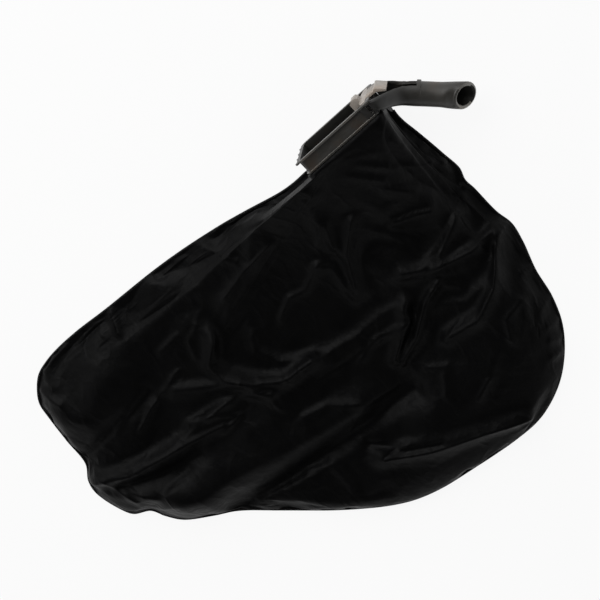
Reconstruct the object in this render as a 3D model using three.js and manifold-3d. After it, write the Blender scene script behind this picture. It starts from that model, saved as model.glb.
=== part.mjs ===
// Leaf vacuum collection bag, in millimetres, +Z up.
// A limp cloth bag lies flat. Its moulded mouth frame stands on one long side, the mouth facing +Y,
// and carries a hollow curved handle at its +X end and a latch lever across that end.
import * as THREE from "three";
import { mergeVertices } from "three/addons/utils/BufferGeometryUtils.js";
import Module from "manifold-3d";

const wasm = await Module();
wasm.setup();

// Clearance between pieces that touch, and the shortest edge that is kept
const GAP = 0.3;
const SLIVER = 0.05;

// Mouth frame: a rectangular loop of channel section, its open side out
const MOUTH_LENGTH = 132;
const MOUTH_WIDTH = 92;
const FRAME_DEPTH = 23;
const FRAME_WALL = 2.6;
const LIP_HEIGHT = 3;
const LIP_THICK = 2.6;
const FRAME_CORNER = 9;
const RIB_RADIUS = 2;
const RIB_LENGTH = 6;

// Clamp ring behind the frame
const CLAMP_THICK = 3.6;
const CLAMP_SKIRT = 9;
const CLAMP_SKIRT_WALL = 2;

// Bag as it lies, along X and Y, and its cloth and edge band
const BAG_LENGTH = 718;
const BAG_WIDTH = 537;
const CLOTH = 1.2;
const BAND_WIDTH = 7;
const PUFF_HEIGHT = 26;
const PUFF_REACH = 55;
const MOUTH_REACH = 85;
const SEAM_RISE_LENGTH = 150;
const SEAM_STEPS = 96;
const LEAVE_SEAM = 80;
const LEAVE_LENGTH = 500;
const LEAVE_LEAST = 7;
const LEAVE_SPAN = 60;

// Handle: channel at the root, tube after it, flared mouth at the end
const HANDLE_WALL = 3;
const ROOT_DEPTH = 18;
const ROOT_CORNER = 4;
const ROOT_LENGTH = 22;
const NECK_LENGTH = 42;
const HANDLE_REACH = 90;
const HANDLE_DROP = 78.5;
const HANDLE_RISE = 2;
const TUBE_RADIUS = 17.2;
const MOUTH_RADIUS = 20.2;
const BORE_RADIUS = 14;
const FLARE_LENGTH = 34;
const CHANNEL_SHARE = 0.47;
const CHANNEL_LIP = 2.3;
const CHANNEL_STEPS = 6;
const ROOT_STEPS = 11;
const TUBE_STEPS = 9;
const COLLAR_HEIGHT = 2.2;
const COLLAR_LENGTH = 5;
const CHEEK_LENGTH = 18;
const CHEEK_SINK = 0.5;
const WINDOW_WIDTH = 4.6;
const WINDOW_MARGIN = 1.8;
const WINDOW_FROM_END = 4;

// Latch lever and its pin
const PIVOT_FROM_END = 10;
const PIVOT_DEPTH = 4.2;
const PIN_RADIUS = 2;
const PIN_PLAY = 0.15;
const BARREL_RADIUS = 4.2;
const STRAP_WIDTH = 42;
const STRAP_THICK = 3.2;
const STRAP_REACH = 20;
const BLOCK_WIDTH = 21;
const BLOCK_LENGTH = 14;
const BLOCK_HEIGHT = 10;
const THUMB_LENGTH = 13;
const THUMB_RISE = 1.8;
const THUMB_DROP = 9.5;
const NOTCH_DEPTH = 9.5;
const NOTCH_PLAY = 2;

// Sizes that follow from those above
const LIP_OUT = FRAME_WALL + LIP_HEIGHT;
const HALF_LENGTH = MOUTH_LENGTH / 2 - LIP_OUT;
const HALF_WIDTH = MOUTH_WIDTH / 2 - LIP_OUT;
const INNER_CORNER = FRAME_CORNER - LIP_OUT;
const CLOTH_OUT = LIP_OUT + 2 * GAP + CLOTH / 2;
const FRAME_MID = MOUTH_WIDTH / 2 + 2 * GAP + CLOTH;
const CLAMP_FRONT = -(FRAME_DEPTH + 2 * GAP + CLOTH);
const HEM_Y = -(FRAME_DEPTH + GAP + CLOTH / 2);
const BAND_THICK = 2 * CLOTH + GAP;
const FRAME_END = MOUTH_LENGTH / 2;
const PIVOT = new THREE.Vector2(FRAME_END - PIVOT_FROM_END, -PIVOT_DEPTH);

// Outline of the bag as it was drawn, from the mouth's -X end round to its +X end
const DRAWN_LENGTH = 718;
const DRAWN_WIDTH = 537;
const OUTLINE = [
  [-77, -24], [-103, -26], [-130, -25], [-188, -15], [-242, -5], [-295, 3], [-344, 8], [-438, 13], [-490, 17],
  [-530, 17], [-555, 14], [-578, 7], [-598, -10], [-609, -26], [-614, -50], [-620, -92], [-625, -135],
  [-641, -157], [-646, -178], [-637, -221], [-628, -238], [-606, -251], [-596, -271], [-580, -293],
  [-542, -318], [-512, -335], [-466, -375], [-399, -434], [-343, -475], [-308, -493], [-272, -504],
  [-218, -512], [-139, -520], [-96, -519], [-62, -509], [-30, -492], [2, -464], [26, -432], [42, -393],
  [51, -350], [66, -306], [72, -277], [68, -250], [68, -205], [67, -188], [73, -170], [72, -140],
  [71, -111], [70, -86], [69, -66], [70, -51], [72, -42],
];

// Folds of the upper panel: a ridge stands up, a crease has a negative height
const FOLDS = [
  { height: 17, width: 36, line: [[-545, -258], [-425, -284], [-262, -322]] },
  { height: -15, width: 17, line: [[-505, -329], [-392, -343], [-300, -350], [-190, -358]] },
  { height: 12, width: 15, line: [[-290, -398], [-210, -436], [-100, -492]] },
  { height: 11, width: 15, line: [[-622, -158], [-570, -176], [-510, -193], [-400, -195]] },
  { height: -8, width: 12, line: [[-606, -128], [-530, -116], [-470, -112]] },
  { height: 10, width: 12, line: [[-340, -108], [-364, -140], [-362, -165], [-318, -222], [-260, -228]] },
  { height: 9, width: 11, line: [[-108, -254], [-176, -308], [-132, -302], [-72, -264]] },
  { height: 11, width: 15, line: [[24, -294], [-2, -318], [-40, -333], [-95, -329]] },
  { height: 8, width: 10, line: [[-108, -82], [-122, -123]] },
  { height: 10, width: 13, line: [[-78, -114], [-119, -148], [-147, -194]] },
  { height: 11, width: 15, line: [[-190, -62], [-250, -71], [-298, -84]] },
  { height: 8, width: 14, line: [[-360, -8], [-312, -48]] },
  { height: 12, width: 34, line: [[-540, -20], [-560, -70], [-500, -45]] },
  { height: 13, width: 26, line: [[-400, -246], [-264, -250], [-160, -262]] },
  { height: -15, width: 28, line: [[-58, -150], [-24, -190]] },
  { height: 13, width: 14, line: [[-80, -218], [-40, -245], [10, -260], [36, -262]] },
  { height: 10, width: 13, line: [[-436, -134], [-360, -186], [-340, -228]] },
  { height: 9, width: 11, line: [[-32, -236], [34, -212]] },
  { height: 14, width: 48, line: [[-200, -410], [-90, -400], [-20, -370]] },
  { height: 9, width: 22, line: [[-580, -215], [-520, -290]] },
  { height: -9, width: 13, line: [[-612, -178], [-545, -215], [-480, -228]] },
];

// The drawn bag, stretched away from the mouth to its stated length and width
function drawn([x, y]) {
  const edge = Math.sign(x) * Math.min(Math.abs(x), FRAME_END);
  return [edge + (x - edge) * BAG_LENGTH / DRAWN_LENGTH, y * BAG_WIDTH / DRAWN_WIDTH];
}

// Plain helpers
const clamp01 = (value) => Math.min(1, Math.max(0, value));
const ease = (value) => clamp01(value) ** 2 * (3 - 2 * clamp01(value));
const mix = (a, b, share) => a + (b - a) * share;

// One closed body from corner points and triangles, turned so that its faces point out
function closedBody(points, triangles) {
  let volume = 0;
  const cross = new THREE.Vector3();
  for (const [a, b, c] of triangles) {
    volume += points[a].dot(cross.crossVectors(points[b], points[c]));
  }
  const faces = volume < 0 ? triangles.map(([a, b, c]) => [a, c, b]) : triangles;
  const geometry = new THREE.BufferGeometry();
  geometry.setAttribute("position", new THREE.Float32BufferAttribute(points.flatMap((p) => p.toArray()), 3));
  geometry.setIndex(faces.flat());
  return geometry;
}

// Skin between rows of points; the rows close on themselves or end in caps of the section's own shape
function loft(rows, section = null) {
  const size = rows[0].length;
  const wraps = section === null;
  const points = rows.flat();
  const triangles = [];
  const steps = wraps ? rows.length : rows.length - 1;
  for (let i = 0; i < steps; i += 1) {
    const here = i * size;
    const next = ((i + 1) % rows.length) * size;
    for (let j = 0; j < size; j += 1) {
      const k = (j + 1) % size;
      triangles.push([here + j, here + k, next + k], [here + j, next + k, next + j]);
    }
  }
  if (!wraps) {
    const last = (rows.length - 1) * size;
    const winding = Math.sign(THREE.ShapeUtils.area(section));
    for (const face of THREE.ShapeUtils.triangulateShape(section, [])) {
      const same = Math.sign(THREE.ShapeUtils.area(face.map((corner) => section[corner]))) === winding;
      const [a, b, c] = same ? face : [face[0], face[2], face[1]];
      triangles.push([a, c, b], [last + a, last + b, last + c]);
    }
  }
  return closedBody(points, triangles);
}

function toSolid(geometry) {
  const plain = geometry.clone();
  for (const name of ["normal", "uv"]) {
    plain.deleteAttribute(name);
  }
  const merged = mergeVertices(plain, 1e-4);
  return new wasm.Manifold(new wasm.Mesh({
    numProp: 3,
    vertProperties: new Float32Array(merged.attributes.position.array),
    triVerts: new Uint32Array(merged.index.array),
  }));
}

// Slivers shorter than a twentieth of a millimetre, left where pieces were joined, are closed up
function fromSolid(solid) {
  const mesh = solid.simplify(SLIVER).getMesh();
  const geometry = new THREE.BufferGeometry();
  geometry.setAttribute("position", new THREE.Float32BufferAttribute(mesh.vertProperties, 3));
  geometry.setIndex(Array.from(mesh.triVerts));
  return geometry;
}

function block(low, high) {
  const size = high.map((value, i) => value - low[i]);
  const centre = high.map((value, i) => (value + low[i]) / 2);
  return toSolid(new THREE.BoxGeometry(...size).translate(...centre));
}

function roundBar(radius, from, to, sides = 20) {
  const start = new THREE.Vector3(...from);
  const axis = new THREE.Vector3(...to).sub(start);
  const bar = new THREE.CylinderGeometry(radius, radius, axis.length(), sides);
  bar.translate(0, axis.length() / 2, 0);
  const turn = new THREE.Quaternion().setFromUnitVectors(new THREE.Vector3(0, 1, 0), axis.clone().normalize());
  return toSolid(bar.applyQuaternion(turn).translate(...from));
}

// A flat profile in X and Y, carried along Z to half a width each side of the frame's middle
function plate(corners, width) {
  const shape = new THREE.Shape(corners.map(([x, y]) => new THREE.Vector2(x, y)));
  const geometry = new THREE.ExtrudeGeometry(shape, { depth: width, bevelEnabled: false });
  return toSolid(geometry.translate(0, 0, FRAME_MID - width / 2));
}

// Mouth loop: a rounded rectangle in X and Z, grown outward by any amount
function mouthCorner(quarter, angle, out) {
  const signX = quarter === 1 || quarter === 2 ? -1 : 1;
  const signZ = quarter < 2 ? 1 : -1;
  const radius = INNER_CORNER + out;
  const x = signX * (HALF_LENGTH - INNER_CORNER) + radius * Math.cos(angle);
  const z = signZ * (HALF_WIDTH - INNER_CORNER) + radius * Math.sin(angle);
  return [x, z];
}

function mouthLoop(profile, steps = 5) {
  const rows = [];
  for (let quarter = 0; quarter < 4; quarter += 1) {
    for (let step = 0; step <= steps; step += 1) {
      const angle = (quarter + step / steps) * Math.PI / 2;
      rows.push(profile.map(([out, y]) => {
        const [x, z] = mouthCorner(quarter, angle, out);
        return new THREE.Vector3(x, y, FRAME_MID + z);
      }));
    }
  }
  return loft(rows);
}

// Point of the upper or lower half of the mouth loop, from its -X end over to its +X end
function mouthHalf(share, out, side) {
  const radius = INNER_CORNER + out;
  const across = HALF_LENGTH - INNER_CORNER;
  const up = HALF_WIDTH - INNER_CORNER;
  const arc = radius * Math.PI / 2;
  const lengths = [up, arc, 2 * across, arc, up];
  let run = share * lengths.reduce((sum, length) => sum + length, 0);
  let piece = 0;
  while (piece < 4 && run > lengths[piece]) {
    run -= lengths[piece];
    piece += 1;
  }
  const turn = run / radius;
  const places = [
    () => [-across - radius, run],
    () => [-across - radius * Math.cos(turn), up + radius * Math.sin(turn)],
    () => [-across + run, up + radius],
    () => [across + radius * Math.sin(turn), up + radius * Math.cos(turn)],
    () => [across + radius, up - run],
  ];
  const [x, z] = places[piece]();
  return [x, side * (z + (GAP + CLOTH) / 2 * (1 - ease(Math.min(share, 1 - share) * 20)))];
}

// Mouth frame
function mouthFrame() {
  const back = -FRAME_DEPTH;
  let frame = toSolid(mouthLoop([
    [0, 0], [LIP_OUT, 0], [LIP_OUT, -LIP_THICK], [FRAME_WALL, -LIP_THICK],
    [FRAME_WALL, back + LIP_THICK], [LIP_OUT, back + LIP_THICK], [LIP_OUT, back], [0, back],
  ]));
  for (const share of [-0.62, -0.1, 0.42]) {
    const z = FRAME_MID + share * MOUTH_WIDTH / 2;
    const x = -FRAME_END - RIB_RADIUS / 4;
    frame = frame.add(roundBar(RIB_RADIUS, [x, -RIB_LENGTH, z], [x, 0, z], 12));
  }
  const nose = [-FRAME_END + RIB_RADIUS, FRAME_MID + MOUTH_WIDTH / 2 - 2 * RIB_RADIUS];
  frame = frame.add(roundBar(2 * RIB_RADIUS, [nose[0], -LIP_THICK, nose[1]], [nose[0], 0, nose[1]], 16));
  const notch = STRAP_WIDTH / 2 + NOTCH_PLAY;
  frame = frame.subtract(block(
    [HALF_LENGTH - GAP, -NOTCH_DEPTH, FRAME_MID - notch],
    [FRAME_END + GAP, GAP, FRAME_MID + notch],
  ));
  frame = frame.subtract(wallSlot(1)).subtract(wallSlot(-1));
  const reach = MOUTH_WIDTH / 2 + 1;
  const hole = roundBar(
    PIN_RADIUS + PIN_PLAY,
    [PIVOT.x, PIVOT.y, FRAME_MID - reach],
    [PIVOT.x, PIVOT.y, FRAME_MID + reach],
  );
  return fromSolid(frame.subtract(hole));
}

// Slot through the frame's wall, under a cheek's window
function wallSlot(side) {
  const zs = [HALF_WIDTH - GAP, HALF_WIDTH + FRAME_WALL + GAP].map((z) => FRAME_MID + side * z);
  const end = HALF_LENGTH - GAP;
  return block(
    [end - WINDOW_WIDTH, -FRAME_DEPTH + LIP_THICK + 3, Math.min(...zs)],
    [end, PIVOT.y - PIN_RADIUS - PIN_PLAY - 1.2, Math.max(...zs)],
  );
}

// Clamp ring: a flange behind the hem and a skirt inside the frame's wall
function clampRing() {
  const back = CLAMP_FRONT - CLAMP_THICK;
  const front = -FRAME_DEPTH + CLAMP_SKIRT;
  return mouthLoop([
    [-GAP, front], [-GAP, CLAMP_FRONT], [LIP_OUT - 2 * GAP, CLAMP_FRONT], [LIP_OUT - 2 * GAP, back],
    [-GAP - CLAMP_SKIRT_WALL, back], [-GAP - CLAMP_SKIRT_WALL, front],
  ]);
}

// Seam curve of the bag and the sizes measured along it
const seamCurve = new THREE.CatmullRomCurve3(
  OUTLINE.map((point) => new THREE.Vector3(...drawn(point), 0)), false, "centripetal",
);
seamCurve.arcLengthDivisions = 800;
const seamLength = seamCurve.getLength();

// The seam climbs from the floor to the middle of the frame at its two ends
function seamBase(share) {
  const fromEnd = Math.min(share, 1 - share) * seamLength;
  const climb = (1 - clamp01(fromEnd / SEAM_RISE_LENGTH)) ** 1.6;
  return (FRAME_MID - BAND_THICK / 2 - 6) * climb;
}

function seamPoint(share, inward) {
  const point = seamCurve.getPointAt(share);
  const along = seamCurve.getTangentAt(share);
  return new THREE.Vector2(point.x - along.y * inward, point.y + along.x * inward);
}

// Where a row of the cloth heads as it leaves the seam: square to the seam's run, and further in the
// further it is from the mouth, so that no row crosses the next one
function leavingPoint(share, seam, reach) {
  const before = seamCurve.getPointAt(Math.max(share - LEAVE_SPAN / seamLength, 0));
  const after = seamCurve.getPointAt(Math.min(share + LEAVE_SPAN / seamLength, 1));
  const along = after.sub(before).normalize();
  const grown = clamp01((Math.min(share, 1 - share) * seamLength) / LEAVE_LENGTH);
  const inward = Math.min(0.4 * reach, mix(LEAVE_LEAST, LEAVE_SEAM, grown));
  return new THREE.Vector2(seam.x - along.y * inward, seam.y + along.x * inward);
}

const foldLines = FOLDS.map((fold) => ({ ...fold, line: fold.line.map(drawn) }));

function distanceToLine(x, y, line) {
  let best = Infinity;
  for (let i = 0; i + 1 < line.length; i += 1) {
    const [ax, ay] = line[i];
    const [dx, dy] = [line[i + 1][0] - ax, line[i + 1][1] - ay];
    const share = clamp01(((x - ax) * dx + (y - ay) * dy) / (dx * dx + dy * dy));
    best = Math.min(best, Math.hypot(x - ax - dx * share, y - ay - dy * share));
  }
  return best;
}

function foldHeight(x, y) {
  let height = 0;
  for (const fold of foldLines) {
    const distance = distanceToLine(x, y, fold.line);
    height += fold.height * Math.exp(-((distance / fold.width) ** 2));
  }
  return height;
}

// Height of a panel's middle surface between its seam and the mouth
function panelHeight(place, share, fromSeam, fromMouth, mouthZ, side) {
  const edge = seamBase(share) + BAND_THICK / 2 + side * (GAP + CLOTH) / 2;
  const seamHold = Math.exp(-fromSeam / 30);
  const mouthHold = Math.exp(-((fromMouth / MOUTH_REACH) ** 1.4));
  if (side < 0) {
    const floor = CLOTH / 2;
    return Math.max(floor, mix(mix(floor, edge, seamHold), mouthZ, Math.exp(-((fromMouth / 35) ** 1.4))));
  }
  const puff = PUFF_HEIGHT * (1 - Math.exp(-fromSeam / PUFF_REACH));
  const hold = (1 - Math.exp(-((fromSeam / 42) ** 2))) * (1 - Math.exp(-((fromMouth / 60) ** 2)));
  const body = edge + puff + foldHeight(place.x, place.y) * hold;
  return mix(Math.max(body, edge), mouthZ, mouthHold);
}

// A cloth panel as a closed sheet of even thickness: side is 1 for the upper and -1 for the lower one
function clothPanel(side, spans) {
  const rows = [];
  for (let i = 0; i <= SEAM_STEPS; i += 1) {
    const share = i / SEAM_STEPS;
    const seam = seamPoint(share, BAND_WIDTH + 2 * GAP);
    const [mx, mz] = mouthHalf(share, CLOTH_OUT, side);
    const turn = new THREE.Vector3(mx, CLAMP_FRONT - CLAMP_THICK - CLOTH, FRAME_MID + mz);
    const reach = Math.hypot(seam.x - turn.x, seam.y - turn.y);
    const end = new THREE.Vector2(turn.x, turn.y);
    const route = new THREE.QuadraticBezierCurve(seam, leavingPoint(share, seam, reach), end);
    const row = spans.map((v) => {
      const place = route.getPoint(v);
      const z = panelHeight(place, share, v * reach, (1 - v) * reach, turn.z, side);
      return new THREE.Vector3(place.x, place.y, z);
    });
    const [hx, hz] = mouthHalf(share, 2 * GAP, side);
    row.push(new THREE.Vector3(mx, HEM_Y, FRAME_MID + mz));
    row.push(new THREE.Vector3(hx, HEM_Y, FRAME_MID + hz));
    rows.push(row);
  }
  evenOut(rows, 2, spans.length - 2);
  return thicken(rows, CLOTH);
}

// Takes the jags out of a panel where its rows run along a fold: heights are shared between rows
function evenOut(rows, from, to) {
  for (let pass = 0; pass < 3; pass += 1) {
    const heights = rows.map((row) => row.map((point) => point.z));
    for (let i = 1; i + 1 < rows.length; i += 1) {
      for (let j = from; j < to; j += 1) {
        rows[i][j].z = (heights[i - 1][j] + 2 * heights[i][j] + heights[i + 1][j]) / 4;
      }
    }
  }
}

// A closed sheet: a grid of points is offset both ways along its normals and walled round its border.
// Its first row lies level, against the edge band. Both faces are cut along the same diagonals, so the
// sheet keeps its thickness where it twists.
function thicken(rows, thickness) {
  const columns = rows.length;
  const size = rows[0].length;
  const normals = rows.map((row, i) => row.map((point, j) => {
    const across = rows[Math.min(i + 1, columns - 1)][j].clone().sub(rows[Math.max(i - 1, 0)][j]);
    const before = row[j].clone().sub(row[Math.max(j - 1, 0)]).normalize();
    const after = row[Math.min(j + 1, size - 1)].clone().sub(row[j]).normalize();
    const normal = across.cross(before.add(after)).normalize();
    return j > 0 ? normal : new THREE.Vector3(0, 0, Math.sign(normal.z));
  }));
  const points = [];
  for (const sign of [0.5, -0.5]) {
    rows.forEach((row, i) => row.forEach((point, j) => {
      points.push(point.clone().addScaledVector(normals[i][j], sign * thickness));
    }));
  }
  const at = (layer, i, j) => layer * columns * size + i * size + j;
  const triangles = [];
  const quad = (a, b, c, d) => triangles.push([a, b, c], [a, c, d]);
  for (let i = 0; i + 1 < columns; i += 1) {
    for (let j = 0; j + 1 < size; j += 1) {
      quad(at(0, i, j), at(0, i + 1, j), at(0, i + 1, j + 1), at(0, i, j + 1));
      quad(at(1, i, j), at(1, i, j + 1), at(1, i + 1, j + 1), at(1, i + 1, j));
    }
    quad(at(1, i, 0), at(1, i + 1, 0), at(0, i + 1, 0), at(0, i, 0));
    quad(at(0, i, size - 1), at(0, i + 1, size - 1), at(1, i + 1, size - 1), at(1, i, size - 1));
  }
  for (let j = 0; j + 1 < size; j += 1) {
    quad(at(0, 0, j), at(0, 0, j + 1), at(1, 0, j + 1), at(1, 0, j));
    quad(at(1, columns - 1, j), at(1, columns - 1, j + 1), at(0, columns - 1, j + 1), at(0, columns - 1, j));
  }
  return closedBody(points, triangles);
}

// Edge band: the sewn allowance that runs round the seam
function edgeBand() {
  const section = [[0, 0], [0, BAND_THICK], [BAND_WIDTH, BAND_THICK], [BAND_WIDTH, 0]];
  const rows = [];
  for (let i = 0; i <= SEAM_STEPS; i += 1) {
    const share = i / SEAM_STEPS;
    const base = seamBase(share);
    rows.push(section.map(([inward, up]) => {
      const place = seamPoint(share, inward);
      return new THREE.Vector3(place.x, place.y, base + up);
    }));
  }
  return loft(rows, section.map(([x, y]) => new THREE.Vector2(x, y)));
}

// Handle: its centre line, its channel and its tube
const rootStart = new THREE.Vector3(FRAME_END + GAP, -2 - ROOT_DEPTH / 2, FRAME_MID);
const handleCurve = new THREE.CubicBezierCurve3(
  rootStart,
  rootStart.clone().add(new THREE.Vector3(0.29 * HANDLE_REACH, -0.15 * HANDLE_DROP, 0)),
  rootStart.clone().add(new THREE.Vector3(0.64 * HANDLE_REACH, -0.62 * HANDLE_DROP, 0)),
  rootStart.clone().add(new THREE.Vector3(HANDLE_REACH, -HANDLE_DROP, HANDLE_RISE)),
);
const handleLength = handleCurve.getLength();
const MOUTH_NORMAL = new THREE.Vector3(0.36, -0.58, 0.73).normalize();
const UP = new THREE.Vector3(0, 0, 1);

// Section axes along the handle: square to the frame at the root, turned to the slanting mouth at the end
function handleAxes(share) {
  const bent = ease((share * handleLength) / ROOT_LENGTH);
  const along = new THREE.Vector3(1, 0, 0).lerp(handleCurve.getTangentAt(share), bent).normalize();
  const side = UP.clone().cross(along).normalize();
  const up = along.clone().cross(side);
  const turn = new THREE.Quaternion().setFromUnitVectors(handleCurve.getTangentAt(1), MOUTH_NORMAL);
  const part = ease((share * handleLength - (handleLength - FLARE_LENGTH)) / FLARE_LENGTH);
  const bend = new THREE.Quaternion().slerp(turn, part);
  return { centre: handleCurve.getPointAt(share), side: side.applyQuaternion(bend), up: up.applyQuaternion(bend) };
}

function placeSection(section, share, slide = 0) {
  const { centre, side, up } = handleAxes(share);
  const along = side.clone().cross(up);
  return section.map(([n, z]) => centre.clone()
    .addScaledVector(side, n).addScaledVector(up, z).addScaledVector(along, slide));
}

// Rounded rectangular section across the handle: half width along Z, half depth, corner radius
function handleSection(half, depth, corner) {
  const cornerSteps = 6;
  return Array.from({ length: 4 * cornerSteps }, (_, i) => {
    const angle = ((i + 0.5) / cornerSteps) * (Math.PI / 2);
    const sideN = Math.sign(Math.cos(angle));
    const sideZ = Math.sign(Math.sin(angle));
    return [
      sideN * (depth - corner) + corner * Math.cos(angle),
      sideZ * (half - corner) + corner * Math.sin(angle),
    ];
  });
}

// Outer sizes and wall of the handle at a share of its length
function handleSizes(share) {
  const run = share * handleLength;
  const flare = ease((run - (handleLength - FLARE_LENGTH)) / FLARE_LENGTH);
  const radius = mix(TUBE_RADIUS, MOUTH_RADIUS, flare);
  const narrow = ease(run / NECK_LENGTH);
  const rounded = ease(share / CHANNEL_SHARE);
  return {
    half: mix(MOUTH_WIDTH / 2, radius, narrow),
    depth: mix(ROOT_DEPTH / 2, radius, rounded),
    corner: mix(ROOT_CORNER, radius, rounded),
    wall: mix(HANDLE_WALL, MOUTH_RADIUS - BORE_RADIUS, flare),
  };
}

function handleShell() {
  const collar = CHANNEL_SHARE + COLLAR_LENGTH / handleLength;
  const shares = [
    ...Array.from({ length: ROOT_STEPS }, (_, i) => collar * (i / ROOT_STEPS) ** 1.15), collar,
    ...Array.from({ length: TUBE_STEPS + 1 }, (_, i) => mix(collar + 0.006, 1, i / TUBE_STEPS)),
  ];
  // The channel's rails and the collar that closes it stand out on the +Y side
  const outer = (share) => {
    const { half, depth, corner } = handleSizes(share);
    const out = share > collar ? 0 : COLLAR_HEIGHT * ease(share / CHANNEL_SHARE);
    return handleSection(half, depth, corner).map(([n, z]) => [n > 0 ? n + out : n, z]);
  };
  const inner = (share) => {
    const { half, depth, corner, wall } = handleSizes(share);
    return handleSection(half - wall, depth - wall, corner - wall);
  };
  const rows = shares.map((share) => placeSection(outer(share), share));
  const lip = (MOUTH_RADIUS - BORE_RADIUS) / 2;
  for (const degrees of [35, 90, 145]) {
    const turn = THREE.MathUtils.degToRad(degrees);
    const radius = BORE_RADIUS + lip + lip * Math.cos(turn);
    rows.push(placeSection(handleSection(radius, radius, radius), 1, lip * Math.sin(turn)));
  }
  for (const share of shares.reverse()) {
    rows.push(placeSection(inner(share), share));
  }
  return toSolid(loft(rows));
}

// What is taken off the handle's +Y side to leave a channel, from before its root to the tube
function channelOpening() {
  const rows = [];
  let first = null;
  for (let step = -1; step <= CHANNEL_STEPS; step += 1) {
    const share = CHANNEL_SHARE * Math.max(0, step / CHANNEL_STEPS);
    const { half, depth, wall } = handleSizes(share);
    const across = half - wall - CHANNEL_LIP;
    const floor = depth - wall - CHANNEL_LIP;
    const section = [[floor, -across], [floor, across], [2 * depth, across], [2 * depth, -across]];
    first = first ?? section;
    rows.push(placeSection(section, share, step < 0 ? -2 * HANDLE_WALL : 0));
  }
  return toSolid(loft(rows, first.map(([n, z]) => new THREE.Vector2(n, z))));
}

// A cheek lies over the frame's wall between its lips and has one window slot
function cheek(side) {
  const inner = HALF_WIDTH + FRAME_WALL + GAP;
  const outer = MOUTH_WIDTH / 2 - CHEEK_SINK;
  const front = -(LIP_THICK + GAP);
  const back = -(FRAME_DEPTH - LIP_THICK - GAP);
  const zs = [FRAME_MID + side * inner, FRAME_MID + side * outer].sort((a, b) => a - b);
  const window = FRAME_END - WINDOW_FROM_END;
  const body = block([FRAME_END - CHEEK_LENGTH, back, zs[0]], [FRAME_END + 2 * GAP + 1, front, zs[1]]);
  return body.subtract(block(
    [window - WINDOW_WIDTH, back + WINDOW_MARGIN, zs[0] - 1],
    [window, front - WINDOW_MARGIN, zs[1] + 1],
  ));
}

function handle() {
  return fromSolid(handleShell().subtract(channelOpening()).add(cheek(1)).add(cheek(-1)));
}

// Latch lever: hook block, strap with grip ribs, sloping thumb end, cross-bar and barrel
function latchLever() {
  const { x, y } = PIVOT;
  const top = y + BARREL_RADIUS + 0.4;
  const blockEnd = x - 7;
  const blockStart = blockEnd - BLOCK_LENGTH;
  const strapEnd = x + STRAP_REACH;
  const thumbEnd = strapEnd + THUMB_LENGTH;
  let lever = plate([
    [blockStart, top - 5], [blockStart, top - 5 + BLOCK_HEIGHT], [blockStart + 4, top - 2 + BLOCK_HEIGHT],
    [blockEnd - 3, top - 2 + BLOCK_HEIGHT], [blockEnd, top - 5 + BLOCK_HEIGHT], [blockEnd, top - 5],
    [blockStart + 5, top - 5], [blockStart + 3.5, top - 16], [blockStart + 0.5, top - 16],
  ], BLOCK_WIDTH);
  lever = lever.add(plate([
    [blockEnd - 1, top], [strapEnd - 2, top], [strapEnd, top + THUMB_RISE], [strapEnd + 2, top + THUMB_RISE],
    [thumbEnd, top - THUMB_DROP], [thumbEnd - 1.5, top - THUMB_DROP - 2], [strapEnd, top - STRAP_THICK],
    [blockEnd - 1, top - STRAP_THICK],
  ], STRAP_WIDTH));
  for (let rib = 0; rib < 4; rib += 1) {
    const at = x + 5 + rib * 3;
    const half = STRAP_WIDTH / 2 - 1;
    lever = lever.add(roundBar(0.8, [at, top, FRAME_MID - half], [at, top, FRAME_MID + half], 8));
  }
  const reach = HALF_WIDTH - INNER_CORNER - GAP;
  lever = lever.add(roundBar(BARREL_RADIUS, [x, y, FRAME_MID - reach], [x, y, FRAME_MID + reach]));
  lever = lever.add(crossBar(top, reach));
  const bore = PIN_RADIUS + PIN_PLAY;
  lever = lever.subtract(roundBar(bore, [x, y, FRAME_MID - MOUTH_WIDTH], [x, y, FRAME_MID + MOUTH_WIDTH]));
  return fromSolid(lever);
}

// Cross-bar: a plate that widens the lever from its strap to the frame's walls
function crossBar(top, reach) {
  const { x } = PIVOT;
  const half = STRAP_WIDTH / 2;
  const shape = new THREE.Shape([
    new THREE.Vector2(x - 8, -half), new THREE.Vector2(x - 4, -reach), new THREE.Vector2(x + 3.5, -reach),
    new THREE.Vector2(x + 3.5, reach), new THREE.Vector2(x - 4, reach), new THREE.Vector2(x - 8, half),
  ]);
  const geometry = new THREE.ExtrudeGeometry(shape, { depth: STRAP_THICK, bevelEnabled: false });
  geometry.rotateX(Math.PI / 2).translate(0, top, FRAME_MID);
  return toSolid(geometry);
}

function latchPin() {
  const reach = HALF_WIDTH + FRAME_WALL - GAP;
  const { x, y } = PIVOT;
  return fromSolid(roundBar(PIN_RADIUS, [x, y, FRAME_MID - reach], [x, y, FRAME_MID + reach]));
}

// Materials
const cloth = () => new THREE.MeshStandardMaterial({ color: 0x0b0b0c, roughness: 0.62, metalness: 0 });
const plastic = () => new THREE.MeshStandardMaterial({ color: 0x35322e, roughness: 0.5, metalness: 0 });
const palePlastic = () => new THREE.MeshStandardMaterial({ color: 0x6f665c, roughness: 0.5, metalness: 0 });
const steel = () => new THREE.MeshStandardMaterial({ color: 0x8a8c8e, roughness: 0.35, metalness: 1 });

function piece(name, geometry, material) {
  const mesh = new THREE.Mesh(geometry, material);
  mesh.name = name;
  return mesh;
}

// Rows from the seam to the mouth, closer together at both ends
const upperSpans = Array.from({ length: 17 }, (_, i) => {
  const share = i / 16;
  return mix(share, ease(share), 0.55);
});
const lowerSpans = [0, 0.2, 0.6, 0.88, 1];

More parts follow.
